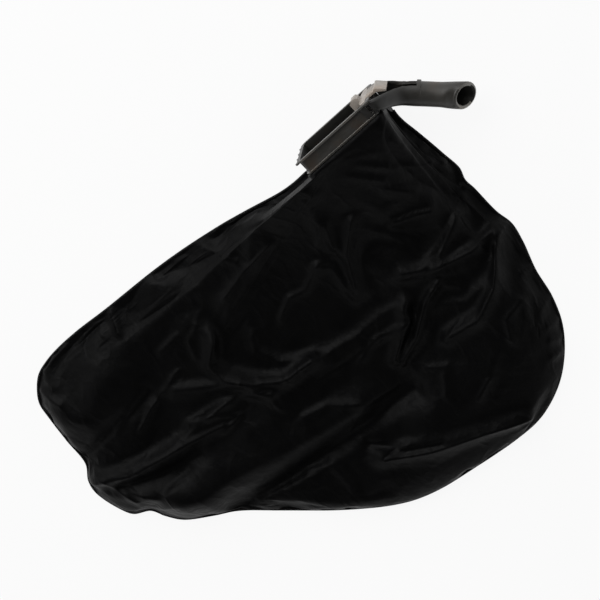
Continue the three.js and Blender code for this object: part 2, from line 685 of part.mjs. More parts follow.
const part = new THREE.Group();
part.add(
  piece("upper_panel", clothPanel(1, upperSpans), cloth()),
  piece("lower_panel", clothPanel(-1, lowerSpans), cloth()),
  piece("edge_band", edgeBand(), cloth()),
  piece("mouth_frame", mouthFrame(), plastic()),
  piece("clamp_ring", clampRing(), plastic()),
  piece("handle", handle(), plastic()),
  piece("latch_lever", latchLever(), palePlastic()),
  piece("latch_pin", latchPin(), steel()),
);

// The origin is under the middle of the whole part, on the floor
const bounds = new THREE.Box3().setFromObject(part);
const middle = bounds.getCenter(new THREE.Vector3());
part.position.set(-middle.x, -middle.y, -bounds.min.z);
part.updateMatrixWorld(true);

export default part;
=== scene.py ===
"""Leaf vacuum collection bag: its looks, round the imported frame. Metres, Z up."""
import math

import bmesh
import bpy
import numpy as np
from mathutils import Matrix, Vector


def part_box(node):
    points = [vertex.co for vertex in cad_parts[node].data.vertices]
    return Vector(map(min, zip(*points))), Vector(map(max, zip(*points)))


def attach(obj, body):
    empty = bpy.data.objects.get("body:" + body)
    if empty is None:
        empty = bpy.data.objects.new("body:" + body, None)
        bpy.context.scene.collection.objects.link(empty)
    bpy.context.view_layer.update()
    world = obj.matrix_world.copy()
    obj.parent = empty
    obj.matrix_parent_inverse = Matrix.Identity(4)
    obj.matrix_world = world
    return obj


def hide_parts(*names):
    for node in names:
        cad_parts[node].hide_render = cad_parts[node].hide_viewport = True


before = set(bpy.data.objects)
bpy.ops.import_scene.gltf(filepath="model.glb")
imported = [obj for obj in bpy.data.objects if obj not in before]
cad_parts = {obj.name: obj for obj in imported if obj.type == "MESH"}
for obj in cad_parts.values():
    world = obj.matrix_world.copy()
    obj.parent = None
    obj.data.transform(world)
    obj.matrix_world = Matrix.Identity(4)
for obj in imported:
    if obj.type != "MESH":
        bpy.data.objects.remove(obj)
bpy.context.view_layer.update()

# The mouth frame's own axes, in millimetres: X along its long side, Y out of the mouth.
# Their zero is the middle of the frame's front face, on the floor.
frame_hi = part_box("mouth_frame")[1]
ORIGIN = np.array([frame_hi.x - 0.066, frame_hi.y, 0.0])

# Sizes of the solids, in millimetres
GAP = 0.3
CLOTH = 1.2
BAND_THICK = 2 * CLOTH + GAP
FRAME_DEPTH = 23.0
HALF_LENGTH = 60.4
HALF_WIDTH = 40.4
INNER_CORNER = 3.4
CLOTH_OUT = 6.8
FRAME_MID = 47.8
CLAMP_FRONT = -(FRAME_DEPTH + 2 * GAP + CLOTH)
CLAMP_THICK = 3.6
HEM_Y = -(FRAME_DEPTH + GAP + CLOTH / 2)
WINDOW_X = (56.9, 62.4)
WINDOW_Y = (-19.2, -3.6)
LIP_BACK = -3.2
HANDLE_BORE = 16.0
END_RING = 14.0

# How the cloth's rows run from the seam to the mouth, and how many there are
SEAM_RISE_LENGTH = 150.0
SEAM_TUCK = 1.6
SEAM_FLAT = 2.0
LEAVE_SEAM = 80.0
LEAVE_LENGTH = 500.0
LEAVE_LEAST = 7.0
LEAVE_SPAN = 60.0
SPLINE_STEPS = 60
SPAN_EASE = 0.55
TOP_ROWS, TOP_SPANS = 460, 205
UNDER_ROWS, UNDER_SPANS = 240, 60

# How high the cloth stands: the puff of the whole bag, its slower rise along the left and right
# borders, the pull of the mouth, and how much of each drawn fold and wrinkle is left
PUFF_HEIGHT = 26.0
PUFF_REACH = 58.0
PUFF_POWER = 1.1
PUFF_LEFT = 95.0
PUFF_RIGHT = 75.0
BORDER_PACE = 1.7
MOUTH_REACH = 85.0
MOUTH_POWER = 1.4
MOUTH_LEFT = 0.8
SIDE_SLOPE = 1.0
SIDE_REACH = 28
EVEN_SHARE = 0.02
FOLD_RISE = 0.85
FOLD_POWER = 1.9
WRINKLE_RISE = 1.25
WRINKLE_POWER = 1.35
TOP_LEAST = 2.2

# The cloth simulation: how much too large the cloth is, its stiffness, its length in frames, how far
# a point may move, and how far the mouth holds it; near the calm line it hardly moves
SETTLE_GROWTH = 0.0165
SETTLE_STIFF = 1.0
SETTLE_FRAMES = 14
SETTLE_CAP = 6.0
HOLD_REACH = 45
CALM_REACH = 60
CALM_SHARE = 0.8
CALM_LINE = [(-560, -262), (-429, -292), (-266, -326)]

# The binding, with how much it waves, and the stitches along it
BAND_STEPS = 900
BAND_WAVE = 0.7
STITCH_PITCH = 4.6
STITCH_INWARD = 1.9
STITCH_RISE = 3.05

# Moulded copies, in degrees: how flat two faces are to be joined, how sharp an edge is to be rounded,
# and how sharp it is to be shaded as an edge
JOIN_ANGLE = 0.6
ROUND_ANGLE = 33
SHADE_ANGLE = 38

# Stage and camera
FLOOR_HALF = 6.0
FLOOR_DROP = 0.0005
FLOOR_GLOW = 0.91
CAM_FAR = 4.0
CAM_SPAN = 0.84

# Handle's middle line: its root, two points that steer it, and its open end
HANDLE_POINTS = [(66.3, -11, 47.8), (92.4, -22.8, 47.8), (123.9, -59.7, 47.8), (156.3, -89.5, 49.8)]

# Outline of the bag as it lies, from the mouth's -X end round to its +X end
OUTLINE = [
    (-77, -24), (-103, -26), (-130, -25), (-188, -15), (-242, -5), (-295, 3), (-344, 8), (-438, 13),
    (-490, 17), (-530, 17), (-555, 14), (-578, 7), (-598, -10), (-609, -26), (-614, -50), (-620, -92),
    (-625, -135), (-641, -157), (-646, -178), (-637, -221), (-628, -238), (-606, -251),
    (-596, -271), (-580, -293), (-542, -318), (-512, -335), (-466, -375), (-399, -434),
    (-343, -475), (-308, -493), (-272, -504), (-218, -512), (-139, -520), (-96, -519), (-62, -509),
    (-30, -492), (2, -464), (26, -432), (42, -393), (51, -350), (66, -306), (72, -277), (68, -250),
    (68, -205), (67, -188), (73, -170), (72, -140),
    (71, -111), (70, -86), (69, -66), (70, -51), (72, -42),
]

# Folds: height, width on the side towards the light, width on the other side, points
FOLDS = [
    (22, 44, 28, [(-547, -264), (-427, -290), (-264, -328)]),
    (-15, 20, 15, [(-505, -329), (-392, -343), (-300, -350), (-190, -358)]),
    (12, 12, 17, [(-290, -398), (-210, -436), (-100, -492)]),
    (11, 10, 17, [(-622, -158), (-570, -176), (-510, -193), (-400, -195)]),
    (-8, 12, 12, [(-606, -128), (-530, -116), (-470, -112)]),
    (10, 8, 14, [(-340, -108), (-364, -140), (-362, -165), (-318, -222), (-260, -228)]),
    (9, 7, 12, [(-108, -254), (-176, -308), (-132, -302), (-72, -264)]),
    (11, 10, 16, [(38, -283), (-2, -318), (-40, -333), (-95, -329)]),
    (8, 7, 12, [(-108, -82), (-122, -123)]),
    (10, 9, 14, [(-78, -114), (-119, -148), (-147, -194)]),
    (7, 12, 17, [(-190, -62), (-250, -71), (-298, -84)]),
    (4, 12, 15, [(-360, -8), (-312, -48)]),
    (15, 34, 34, [(-585, -60), (-560, -78), (-500, -60)]),
    (7, 28, 28, [(-400, -246), (-264, -250), (-160, -262)]),
    (-15, 26, 26, [(-64, -158), (-27, -197)]),
    (6, 36, 30, [(-420, -412), (-340, -432), (-260, -452)]),
    (13, 10, 16, [(-80, -218), (-40, -245), (14, -261), (66, -265)]),
    (10, 9, 14, [(-436, -134), (-360, -186), (-340, -228)]),
    (9, 8, 12, [(-32, -236), (34, -212)]),
    (14, 48, 48, [(-200, -410), (-90, -400), (-20, -370)]),
    (9, 22, 22, [(-580, -215), (-520, -290)]),
    (-9, 12, 13, [(-612, -178), (-545, -215), (-480, -228)]),
]

# Small wrinkles, in the same terms
WRINKLES = [
    (5, 5, 8, [(-89, -35), (-83, -50), (-103, -57)]),
    (4, 4, 6, [(-104, -95), (-121, -127)]),
    (3, 4, 6, [(-108, -89), (-136, -109)]),
    (5, 5, 9, [(-75, -114), (-114, -145), (-142, -191)]),
    (4, 4, 7, [(-188, -66), (-239, -71), (-290, -82)]),
    (5, 5, 9, [(-160, -131), (-146, -149), (-153, -180), (-155, -204)]),
    (4, 5, 8, [(-160, -132), (-197, -149), (-223, -142), (-251, -155)]),
    (6, 6, 10, [(-346, -118), (-375, -138), (-371, -166), (-342, -200), (-301, -224), (-255, -225)]),
    (4, 5, 8, [(-298, -146), (-310, -166), (-295, -200), (-265, -219)]),
    (5, 4, 8, [(-433, 10), (-444, -23)]),
    (3, 4, 6, [(-336, -75), (-361, -91)]),
    (3, 4, 6, [(-381, -78), (-415, -81)]),
    (3, 4, 6, [(-372, -94), (-382, -119)]),
    (4, 3, 5, [(-475, -106), (-506, -110), (-547, -125), (-607, -131)]),
    (3, 3, 6, [(-418, -116), (-447, -123), (-479, -129), (-516, -143)]),
    (6, 7, 10, [(-630, -158), (-573, -185), (-491, -200), (-421, -216)]),
    (3, 4, 6, [(-611, -149), (-605, -192), (-597, -220)]),
    (4, 5, 7, [(-458, -181), (-428, -191), (-387, -194), (-371, -198), (-334, -226)]),
    (3, 4, 6, [(-428, -191), (-393, -221), (-429, -225)]),
    (3, 5, 5, [(-343, -242), (-341, -252)]),
    (5, 5, 8, [(-284, -402), (-244, -408)]),
    (5, 5, 7, [(-286, -405), (-226, -438), (-160, -466), (-97, -497)]),
    (-5, 6, 6, [(-292, -377), (-256, -413), (-210, -438)]),
    (3, 4, 5, [(-154, -344), (-128, -359)]),
    (3, 4, 6, [(-141, -366), (-158, -391)]),
    (3, 4, 6, [(-128, -423), (-99, -412)]),
    (5, 4, 6, [(-119, -259), (-120, -275), (-175, -305), (-174, -317), (-133, -302), (-90, -272),
     (-53, -261)]),
    (3, 8, 12, [(-309, -207), (-256, -232), (-197, -243), (-152, -244), (-108, -254)]),
    (-2, 6, 8, [(-272, -257), (-205, -268), (-148, -288)]),
    (5, 5, 9, [(50, -270), (-1, -318), (-49, -338), (-102, -329)]),
    (3, 3, 5, [(-79, -216), (-56, -230), (-22, -228)]),
    (4, 4, 7, [(-44, -241), (9, -257), (72, -263)]),
    (3, 5, 8, [(-25, -233), (47, -199)]),
    (6, 5, 14, [(-36, -157), (-6, -168), (11, -178)]),
    (4, 5, 9, [(-75, -129), (-58, -160), (-46, -187)]),
    (3, 5, 7, [(50, -64), (54, -82)]),
    (3, 5, 7, [(-5, -59), (18, -88)]),
    (3, 5, 7, [(-27, -62), (0, -99)]),
    (3, 4, 7, [(-7, -111), (18, -142)]),
    (3, 4, 7, [(29, -98), (55, -129)]),
    (3, 5, 7, [(-12, -39), (22, -59)]),
    (5, 5, 7, [(61, -192), (80, -201)]),
    (4, 4, 7, [(66, -142), (79, -148)]),
    (4, 4, 6, [(54, -273), (75, -266)]),
    (3, 4, 6, [(35, -335), (50, -339)]),
    (3, 4, 6, [(22, -390), (43, -389)]),
    (3, 4, 6, [(12, -415), (29, -424)]),
    (3, 4, 6, [(-1, -433), (12, -444)]),
    (3, 4, 6, [(-15, -452), (-1, -459)]),
    (5, 8, 12, [(-520, 15), (-564, 5)]),
    (4, 6, 9, [(-588, -13), (-576, -41)]),
    (3, 6, 9, [(-592, -203), (-569, -237), (-538, -239)]),
    (4, 6, 10, [(-470, -341), (-430, -348), (-389, -356)]),
    (3, 6, 10, [(-351, -406), (-351, -365), (-385, -351)]),
    (-4, 7, 9, [(-584, -244), (-547, -231), (-508, -233)]),
    (4, 6, 9, [(-240, -54), (-254, -33), (-265, -16)]),
    (3, 5, 8, [(-38, -284), (-60, -258)]),
    (4, 8, 12, [(-14, -306), (-46, -309), (-74, -291)]),
    (3, 5, 8, [(-326, -281), (-288, -291), (-255, -321)]),
    (4, 6, 10, [(-123, -278), (-173, -266), (-210, -273)]),
    (3, 6, 9, [(11, -360), (-21, -363), (-36, -389)]),
]


def clamp01(value):
    return np.clip(value, 0.0, 1.0)


def ease(value):
    value = clamp01(value)
    return value * value * (3 - 2 * value)


def mix(a, b, share):
    return a + (b - a) * share


def fade(distance, reach, power):
    """1 at no distance, falling to nothing beyond reach."""
    return np.exp(-(distance / reach) ** power)


def to_world(points):
    """Millimetres in the mouth frame's axes, to metres in the part's frame."""
    return np.asarray(points, float) / 1000.0 + ORIGIN


# Seam curve: a centripetal spline through the outline, with its length measured along it
def spline(points):
    points = np.array(points, float)
    first = 2 * points[0] - points[1]
    last = 2 * points[-1] - points[-2]
    full = np.vstack([first, points, last])
    found = []
    for i in range(len(points) - 1):
        a, b, c, d = full[i:i + 4]
        ta, tb, tc = (max(np.linalg.norm(q - p), 1e-6) ** 0.5 for p, q in ((a, b), (b, c), (c, d)))
        m1 = ((b - a) / ta - (c - a) / (ta + tb) + (c - b) / tb) * tb
        m2 = ((c - b) / tb - (d - b) / (tb + tc) + (d - c) / tc) * tb
        t = np.linspace(0, 1, SPLINE_STEPS, endpoint=False)[:, None]
        found.append(b + m1 * t + (-3 * b + 3 * c - 2 * m1 - m2) * t ** 2
                     + (2 * b - 2 * c + m1 + m2) * t ** 3)
    found.append(points[-1:])
    return np.vstack(found)


SEAM = spline(OUTLINE)
SEAM_RUN = np.concatenate([[0], np.cumsum(np.linalg.norm(np.diff(SEAM, axis=0), axis=1))])
SEAM_LENGTH = SEAM_RUN[-1]


def seam_place(share, inward):
    """Place on the seam curve, moved into the bag by so many millimetres."""
    run = np.asarray(share) * SEAM_LENGTH
    x = np.interp(run, SEAM_RUN, SEAM[:, 0])
    y = np.interp(run, SEAM_RUN, SEAM[:, 1])
    step = 2.0
    before, after = np.maximum(run - step, 0), np.minimum(run + step, SEAM_LENGTH)
    dx = np.interp(after, SEAM_RUN, SEAM[:, 0]) - np.interp(before, SEAM_RUN, SEAM[:, 0])
    dy = np.interp(after, SEAM_RUN, SEAM[:, 1]) - np.interp(before, SEAM_RUN, SEAM[:, 1])
    long = np.hypot(dx, dy)
    return x - dy / long * inward, y + dx / long * inward


def leaving_point(share, x, y, reach):
    """Where a row of the cloth heads as it leaves the seam, so that no row crosses the next one."""
    run = share * SEAM_LENGTH
    before, after = max(run - LEAVE_SPAN, 0), min(run + LEAVE_SPAN, SEAM_LENGTH)
    dx = np.interp(after, SEAM_RUN, SEAM[:, 0]) - np.interp(before, SEAM_RUN, SEAM[:, 0])
    dy = np.interp(after, SEAM_RUN, SEAM[:, 1]) - np.interp(before, SEAM_RUN, SEAM[:, 1])
    grown = min(min(run, SEAM_LENGTH - run) / LEAVE_LENGTH, 1)
    inward = min(0.4 * reach, mix(LEAVE_LEAST, LEAVE_SEAM, grown)) / math.hypot(dx, dy)
    return x - dy * inward, y + dx * inward


def seam_base(share):
    """Height of the seam: it climbs from the floor to the middle of the frame at its two ends."""
    from_end = np.minimum(share, 1 - share) * SEAM_LENGTH
    climb = (1 - clamp01(from_end / SEAM_RISE_LENGTH)) ** 1.6
    return (FRAME_MID - BAND_THICK / 2 - 6) * climb


def mouth_half(share, out, side):
    """Place on the upper or lower half of the mouth loop, from its -X end over to its +X end."""
    radius = INNER_CORNER + out
    across = HALF_LENGTH - INNER_CORNER
    up = HALF_WIDTH - INNER_CORNER
    arc = radius * math.pi / 2
    lengths = [up, arc, 2 * across, arc, up]
    run = share * sum(lengths)
    piece = 0
    while piece < 4 and run > lengths[piece]:
        run -= lengths[piece]
        piece += 1
    turn = run / radius
    x, z = [
        (-across - radius, run),
        (-across - radius * math.cos(turn), up + radius * math.sin(turn)),
        (-across + run, up + radius),
        (across + radius * math.sin(turn), up + radius * math.cos(turn)),
        (across + radius, up - run),
    ][piece]
    near = float(ease(min(share, 1 - share) * 20))
    return x, side * (z + (GAP + CLOTH) / 2 * (1 - near))


def side_distance(x, y, line):
    """Distance to a line of points, and on which side of it each place is."""
    best = np.full(np.shape(x), 1e9)
    side = np.zeros(np.shape(x))
    for (ax, ay), (bx, by) in zip(line, line[1:]):
        dx, dy = bx - ax, by - ay
        share = clamp01(((x - ax) * dx + (y - ay) * dy) / (dx * dx + dy * dy))
        away = np.hypot(x - ax - dx * share, y - ay - dy * share)
        nearer = away < best
        best = np.where(nearer, away, best)
        side = np.where(nearer, (dx * (y - ay) - dy * (x - ax)) / math.hypot(dx, dy), side)
    return best, side


# The direction the light comes from, seen from above
LIGHT_X, LIGHT_Y = 0.25, 0.97


def fold_height(x, y, folds, power):
    """Height of the folds at each place; each flank has its own width."""
    height = np.zeros(np.shape(x))
    for tall, lit, dark, line in folds:
        distance, side = side_distance(x, y, line)
        run = np.array(line[-1], float) - np.array(line[0], float)
        faces = math.copysign(1.0, -run[1] * LIGHT_X + run[0] * LIGHT_Y)
        width = mix(dark, lit, ease(0.5 + side * faces / 8))
        height += tall * fade(distance, width, power)
    return height


def evened(heights):
    """The same heights with each column evened out along the seam, so that no row makes a ridge."""
    sigma = EVEN_SHARE * (heights.shape[0] - 1)
    half = int(3 * sigma)
    weights = np.exp(-(np.arange(-half, half + 1) / sigma) ** 2 / 2)
    weights /= weights.sum()
    wide = np.pad(heights, ((half, half), (0, 0)), mode="edge")
    return sum(weight * wide[k:k + heights.shape[0]] for k, weight in enumerate(weights))


def panel_height(x, y, share, from_seam, from_mouth, mouth_z, side):
    """Height of a panel's middle surface: side is 1 for the upper panel and -1 for the lower one."""
    edge = seam_base(share) + BAND_THICK / 2 + side * (GAP + CLOTH) / 2
    if side < 0:
        floor = CLOTH / 2
        low = mix(floor, edge, np.exp(-from_seam / 30))
        return np.maximum(floor, mix(low, mouth_z, fade(from_mouth, 35, MOUTH_POWER)))
    left, right = 1 - ease((share - 0.22) / 0.09), ease((share - 0.76) / 0.1)
    reach = PUFF_REACH + (PUFF_LEFT - PUFF_REACH) * left + (PUFF_RIGHT - PUFF_REACH) * right
    straight = np.maximum(side_distance(x, y, SEAM[::12].tolist())[0] - SEAM_TUCK - SEAM_FLAT, 0)
    away = mix(from_seam, np.minimum(from_seam, BORDER_PACE * straight), np.maximum(left, right))
    hold_reach = MOUTH_REACH * mix(MOUTH_LEFT, 1, ease((share - 0.03) / 0.14))
    mouth_hold = fade(from_mouth, hold_reach, MOUTH_POWER)
    body = mix(edge + PUFF_HEIGHT * (1 - fade(away, reach, PUFF_POWER)), mouth_z, mouth_hold)

    # Beside the mouth the cloth drops to the seam with a slope, not as a wall, and no row makes a ridge
    sloping = mix(edge, mouth_z, fade(from_mouth, SIDE_REACH, MOUTH_POWER)) + SIDE_SLOPE * straight
    beside = ease((share - 0.7) / 0.12) + 1 - ease((share - 0.1) / 0.12)
    body = mix(body, np.minimum(body, sloping), beside)
    body = mix(body, evened(body), (1 - fade(from_seam, 22, 2)) * (1 - fade(from_mouth, 35, 2)))

    # Folds and wrinkles start a little way from the seam and the mouth
    free = (1 - fade(from_seam, 36, 2)) * (1 - fade(from_mouth, 60, 2))
    small = (1 - fade(from_seam, 9, 2)) * (1 - fade(from_mouth, 25, 2))
    folds = FOLD_RISE * fold_height(x, y, FOLDS, FOLD_POWER) * free
    wrinkles = WRINKLE_RISE * fold_height(x, y, WRINKLES, WRINKLE_POWER)
    least = mix(edge, mouth_z, mouth_hold)
    return np.maximum(body + folds * (1 - mouth_hold), least) + wrinkles * small


def panel_grid(side, steps, spans):
    """Middle surface of a panel, as rows from the seam to the mouth's hem."""
    ends = []
    ty = CLAMP_FRONT - CLAMP_THICK - CLOTH
    for share in np.linspace(0, 1, steps + 1):
        sx, sy = seam_place(share, SEAM_TUCK)
        mx, mz = mouth_half(share, CLOTH_OUT, side)
        hx, hz = mouth_half(share, 2 * GAP, side)
        reach = math.hypot(sx - mx, sy - ty)
        ix, iy = leaving_point(share, sx, sy, reach)
        ends.append((share, reach, sx, sy, ix, iy, mx, mz, hx, hz))
    share, reach, sx, sy, ix, iy, mx, mz, hx, hz = np.array(ends, float).T[..., None]
    v = np.asarray(spans)[None, :]
    x = (1 - v) ** 2 * sx + 2 * v * (1 - v) * ix + v ** 2 * mx
    y = (1 - v) ** 2 * sy + 2 * v * (1 - v) * iy + v ** 2 * ty
    from_seam = np.maximum(v * reach - SEAM_FLAT, 0)
    z = panel_height(x, y, share, from_seam, (1 - v) * reach, FRAME_MID + mz, side)
    turned = np.full_like(mx, HEM_Y)
    hem = np.stack([np.hstack([mx, hx]), np.hstack([turned, turned]), FRAME_MID + np.hstack([mz, hz])], -1)
    return np.concatenate([np.stack([x, y, z], -1), hem], axis=1), (1 - v) * reach


def grid_mesh(name, grid, wraps=False):
    rows, size = grid.shape[:2]
    points = to_world(grid.reshape(-1, 3))
    i, j = np.meshgrid(np.arange(rows - 1), np.arange(size if wraps else size - 1), indexing="ij")
    k = (j + 1) % size
    faces = np.stack([i * size + j, (i + 1) * size + j, (i + 1) * size + k, i * size + k], -1)
    mesh = bpy.data.meshes.new(name)
    mesh.from_pydata(points.tolist(), [], faces.reshape(-1, 4).tolist())
    mesh.validate()
    return mesh


def make_object(name, mesh, material, body="root"):
    piece = bpy.data.objects.new(name, mesh)
    bpy.context.scene.collection.objects.link(piece)
    mesh.materials.clear()
    mesh.materials.append(material)
    mesh.polygons.foreach_set("use_smooth", [True] * len(mesh.polygons))
    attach(piece, body)
    return piece


def face_outward(mesh, up=True):
    """Turns the faces of an open sheet so that most of them look up, or down."""
    total = sum(face.normal.z * face.area for face in mesh.polygons)
    if (total > 0) != up:
        mesh.flip_normals()


# Materials
def math_node(tree, kind, a, b):
    node = tree.nodes.new("ShaderNodeMath")
    node.operation = kind
    for socket, value in zip(node.inputs, (a, b)):
        if isinstance(value, (int, float)):
            socket.default_value = value
        else:
            tree.links.new(value, socket)
    return node.outputs[0]


class Nodes:
    """A material's node tree with short names for what it's made of."""

    def __init__(self, name):
        self.material = bpy.data.materials.new(name)
        self.material.use_nodes = True
        self.tree = self.material.node_tree
        self.shader = self.tree.nodes["Principled BSDF"]
        place = self.tree.nodes.new("ShaderNodeTexCoord")
        self.place = place.outputs["Object"]

    def link(self, a, b):
        self.tree.links.new(a, b)

    def noise(self, scale, detail=3.0, rough=0.55, stretch=None):
        node = self.tree.nodes.new("ShaderNodeTexNoise")
        node.inputs["Scale"].default_value = scale
        node.inputs["Detail"].default_value = detail
        node.inputs["Roughness"].default_value = rough
        self.link(self.stretched(stretch), node.inputs["Vector"])
        return node.outputs["Fac"]

    def ridges(self, scale, stretch):
        """Thin sharp lines where a noise passes its middle, as small creases in cloth do."""
        away = self.math("ABSOLUTE", self.math("SUBTRACT", self.noise(scale, 2.0, 0.4, stretch), 0.5), 0.0)
        return self.math("SUBTRACT", 1.0, self.math("MINIMUM", self.math("MULTIPLY", away, 14.0), 1.0))

    def stretched(self, stretch):
        if stretch is None:
            return self.place
        node = self.tree.nodes.new("ShaderNodeMapping")
        node.inputs["Rotation"].default_value = (0, 0, stretch[0])
        node.inputs["Scale"].default_value = stretch[1:]
        self.link(self.place, node.inputs["Vector"])
        return node.outputs["Vector"]

    def wave(self, pitch, turn):
        node = self.tree.nodes.new("ShaderNodeTexWave")
        node.inputs["Scale"].default_value = 1 / pitch / 3.1416
        self.link(self.stretched((turn, 1, 1, 1)), node.inputs["Vector"])
        return node.outputs["Fac"]

    def ramp(self, value, stops):
        node = self.tree.nodes.new("ShaderNodeValToRGB")
        ramp = node.color_ramp
        while len(ramp.elements) < len(stops):
            ramp.elements.new(0.5)
        for element, (at, color) in zip(ramp.elements, stops):
            element.position = at
            element.color = (*color, 1) if hasattr(color, "__len__") else (color, color, color, 1)
        self.link(value, node.inputs["Fac"])
        return node.outputs["Color"]

    def math(self, kind, a, b):
        return math_node(self.tree, kind, a, b)

    def times(self, a, b):
        node = self.tree.nodes.new("ShaderNodeMix")
        node.data_type = "RGBA"
        node.blend_type = "MULTIPLY"
        node.inputs[0].default_value = 1.0
        self.link(a, node.inputs[6])
        self.link(b, node.inputs[7])
        return node.outputs[2]

    def bump(self, height, strength, distance, after=None):
        node = self.tree.nodes.new("ShaderNodeBump")
        node.inputs["Strength"].default_value = strength
        node.inputs["Distance"].default_value = distance
        self.link(height, node.inputs["Height"])
        if after is not None:
            self.link(after, node.inputs["Normal"])
        return node.outputs["Normal"]

    def set(self, name, value):
        socket = self.shader.inputs[name]
        if isinstance(value, (int, float, tuple)):
            socket.default_value = value
        else:
            self.link(value, socket)


def cloth_material(name, dark, pale, rough=0.46, shine=0.062):
    n = Nodes(name)
    tone = n.noise(14, 4)
    n.set("Base Color", n.ramp(tone, [(0.3, dark), (0.72, pale)]))
    n.set("Roughness", n.ramp(n.noise(40, 3), [(0.3, rough - 0.05), (0.7, rough + 0.07)]))
    n.set("Specular IOR Level", shine)
    n.set("Sheen Weight", 0.004)
    n.set("Sheen Roughness", 0.4)
    weave = n.math("ADD", n.wave(0.0011, 0.35), n.wave(0.0011, 0.35 + math.pi / 2))
    fine = n.bump(weave, 0.10, 0.0003)
    crumple = n.noise(55, 5, 0.6, (0.5, 1.0, 0.6, 1.0))
    creases = n.bump(n.ridges(24, (0.9, 1.0, 0.55, 1.0)), 0.35, 0.0016, fine)
    n.set("Normal", n.bump(crumple, 0.3, 0.005, creases))
    return n.material


def plastic_material(name, dark, pale, rough, shine=0.5, shade=None, stained=(1.3, 0.95, 0.72), slot_shade=None):
    """Moulded plastic with stains. Shade is painted shade: where along X it darkens, and how much; the slot
    box is painted shade, a dark box over a recess.
    """
    n = Nodes(name)
    stain = tuple(min(1.0, channel * share) for channel, share in zip(pale, stained))
    color = n.ramp(n.noise(26, 5), [(0.28, dark), (0.54, pale), (0.72, stain)])
    # Painted shade: the colour darkens below a given X
    if shade is not None:
        across = n.tree.nodes.new("ShaderNodeSeparateXYZ")
        n.link(n.place, across.inputs[0])
        color = n.times(color, n.ramp(across.outputs["X"], [(shade[0], shade[2]), (shade[1], 1.0)]))
    # Painted shade: inside the box the colour is darkened to six per cent
    if slot_shade is not None:
        across = n.tree.nodes.new("ShaderNodeSeparateXYZ")
        n.link(n.place, across.inputs[0])
        inside = 1.0
        for axis, lo, hi in zip("XY", slot_shade[0].tolist(), slot_shade[1].tolist()):
            past = n.math("GREATER_THAN", across.outputs[axis], lo)
            short = n.math("LESS_THAN", across.outputs[axis], hi)
            inside = n.math("MULTIPLY", n.math("MULTIPLY", past, short), inside)
        color = n.times(color, n.ramp(inside, [(0.0, 1.0), (1.0, 0.06)]))
    n.set("Base Color", color)
    n.set("Roughness", n.ramp(n.noise(160, 3), [(0.3, rough - 0.06), (0.7, rough + 0.08)]))
    n.set("Specular IOR Level", shine)
    grain = n.noise(1500, 2)
    n.set("Normal", n.bump(grain, 0.12, 0.0002))
    return n.material


def steel_material():
    n = Nodes("drawn_steel")
    n.set("Metallic", 1.0)
    n.set("Base Color", n.ramp(n.noise(60, 3), [(0.3, (0.42, 0.42, 0.43)), (0.7, (0.6, 0.6, 0.61))]))
    n.set("Roughness", n.ramp(n.noise(300, 2, 0.5, (0, 1, 1, 0.05)), [(0.3, 0.25), (0.7, 0.4)]))
    return n.material


cloth = cloth_material("black_cloth", (0.0009, 0.0009, 0.001), (0.0023, 0.0023, 0.0024))
band = cloth_material("black_binding", (0.004, 0.004, 0.0041), (0.0075, 0.0075, 0.0076), 0.5, 0.15)
thread = cloth_material("black_thread", (0.005, 0.005, 0.005), (0.009, 0.009, 0.009), 0.4, 0.15)
# A box of painted shade over the window in the frame's cheek and the parts seen through it
WINDOW_SHADE_BOX = to_world([(x, y, 0) for x, y in zip(WINDOW_X, WINDOW_Y)])
frame_plastic = plastic_material("frame_plastic", (0.0105, 0.01, 0.0088), (0.021, 0.0195, 0.0168), 0.4,
                                 slot_shade=WINDOW_SHADE_BOX)
# Painted shade: a much darker plastic on faces that look into the mouth, the handle's bore and its channel
shaded_inside_plastic = plastic_material("frame_plastic_painted_shade_inside", (0.004, 0.004, 0.003), (0.008, 0.0077, 0.0062),
                                  0.55, 0.2)
latch_plastic = plastic_material("latch_plastic", (0.21, 0.185, 0.158), (0.3, 0.268, 0.236), 0.42,
                                 stained=(1.04, 0.96, 0.9))
# Painted shade: the handle darkens towards its root, where the frame's channel is in shadow
handle_plastic = plastic_material("handle_plastic", (0.022, 0.0205, 0.0178), (0.037, 0.0345, 0.0298), 0.44,
                                  shade=(0.32, 0.37, 0.12))
# Painted highlight: a lighter plastic on the outward faces of the frame's front lip
lip_highlight_plastic = plastic_material("frame_lip_painted_highlight", (0.03, 0.0285, 0.0255), (0.068, 0.065, 0.059), 0.36)
# Painted highlights: a much lighter plastic on the rounded edges of the frame and handle, and on the handle's
# end ring
edge_highlight_plastic = plastic_material("painted_edge_highlights", (0.09, 0.086, 0.078), (0.19, 0.181, 0.165), 0.34,
                                  stained=(1.1, 0.97, 0.85))
# Painted highlights on the latch's rounded edges
latch_edge_highlight_plastic = plastic_material("painted_latch_edge_highlights", (0.27, 0.245, 0.22), (0.38, 0.35, 0.318), 0.36,
                                stained=(1.02, 0.98, 0.93))
steel = steel_material()


